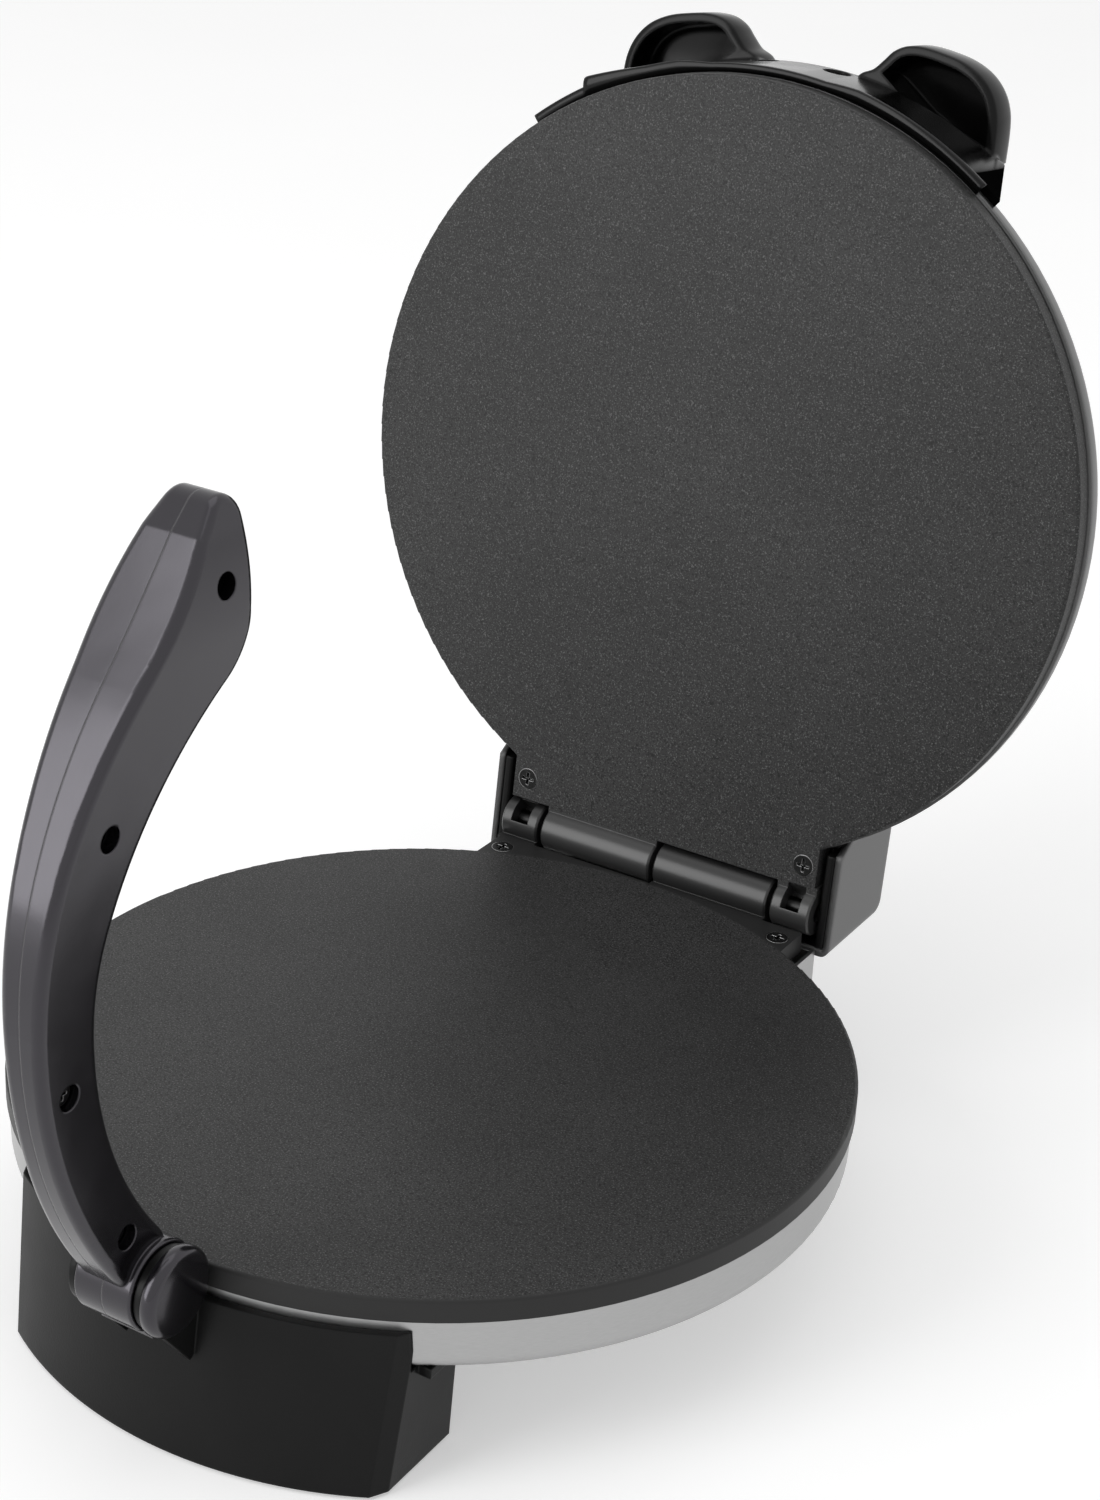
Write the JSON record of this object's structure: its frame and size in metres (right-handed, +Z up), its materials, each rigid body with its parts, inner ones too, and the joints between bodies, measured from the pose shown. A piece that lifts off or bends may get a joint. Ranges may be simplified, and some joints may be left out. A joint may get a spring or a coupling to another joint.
{
  "type": "electric roti maker",
  "caption": "Countertop flatbread cooker with round hinged non-stick plates, a swing-over pressing lever on the front foot, and a bracket handle with two finger lips.",
  "frame": {"origin": "middle of the bounding box at the height of the worktop, with the lid open", "axes": "+Z up, +Y from the lever to the hinge, +X to the right seen from the lever; +X is also the hinge pin's direction"},
  "size_m": [0.2556, 0.3944, 0.3355],
  "materials": {
    "plate_coat": "speckled non-stick coat on cast aluminium",
    "satin_steel": "satin silver sheet",
    "lid_paint": "satin silver paint",
    "black_gloss": "glossy black moulding",
    "black_satin": "satin black moulding",
    "steel": "bright zinc plate",
    "element_steel": "heat-browned steel tube",
    "shield": "bright sheet",
    "rubber": "matt",
    "ceramic": "unglazed",
    "brass": "plain",
    "wire": "glass-sleeved lead",
    "lens_red": "clear red",
    "glass": "clear"
  },
  "bodies": {
    "base": {"base_pan": "satin_steel", "lower_plate": "plate_coat", "lower_plate_screws": "steel", "lower_posts": "steel", "post_screws": "steel", "lower_element": "element_steel", "lower_element_clamps": "steel", "lower_clamp_screws": "steel", "lower_heat_shield": "shield", "lower_shield_screws": "steel", "lower_thermostat": "ceramic", "lower_thermal_fuse": "ceramic", "front_foot": "black_satin", "rear_foot": "black_satin", "foot_screws": "steel", "rear_foot_cover": "black_satin", "rear_cover_screws": "steel", "front_foot_cover": "black_satin", "front_cover_screws": "steel", "rubber_feet": "rubber", "cord_gland": "black_satin", "terminal_block": "ceramic", "terminal_screws": "brass", "base_wires": "wire", "hinge_pin": "steel", "lever_pivot_pin": "steel", "pivot_clip": "steel", "pivot_cap": "black_gloss"},
    "lid": {"upper_plate": "plate_coat", "upper_plate_screws": "steel", "upper_posts": "steel", "upper_element": "element_steel", "upper_element_clamps": "steel", "upper_clamp_screws": "steel", "upper_heat_shield": "shield", "upper_shield_screws": "steel", "upper_thermostat": "ceramic", "upper_thermal_fuse": "ceramic", "lid_wires": "wire", "lid_shell": "lid_paint", "hinge_liner": "black_satin", "handle": "black_gloss", "handle_bracket": "steel", "handle_screws": "steel", "bracket_rivets": "steel", "lamp_lenses": "lens_red", "lamps": "glass"},
    "lever": {"lever_left_shell": "black_gloss", "lever_right_shell": "black_gloss", "lever_screws": "steel", "lever_spine": "steel", "lever_sleeve": "steel"}
  },
  "joints": [
    {"name": "lid_hinge", "type": "hinge", "parent": "base", "child": "lid", "pos_m": [0, 0.11818, 0.0643], "axis": [1, 0, 0], "range_deg": [0, 96.4]},
    {"name": "lever_pivot", "type": "hinge", "parent": "base", "child": "lever", "pos_m": [0, -0.15782, 0.0602], "axis": [-1, 0, 0], "range_deg": [0, 26]}
  ]
}
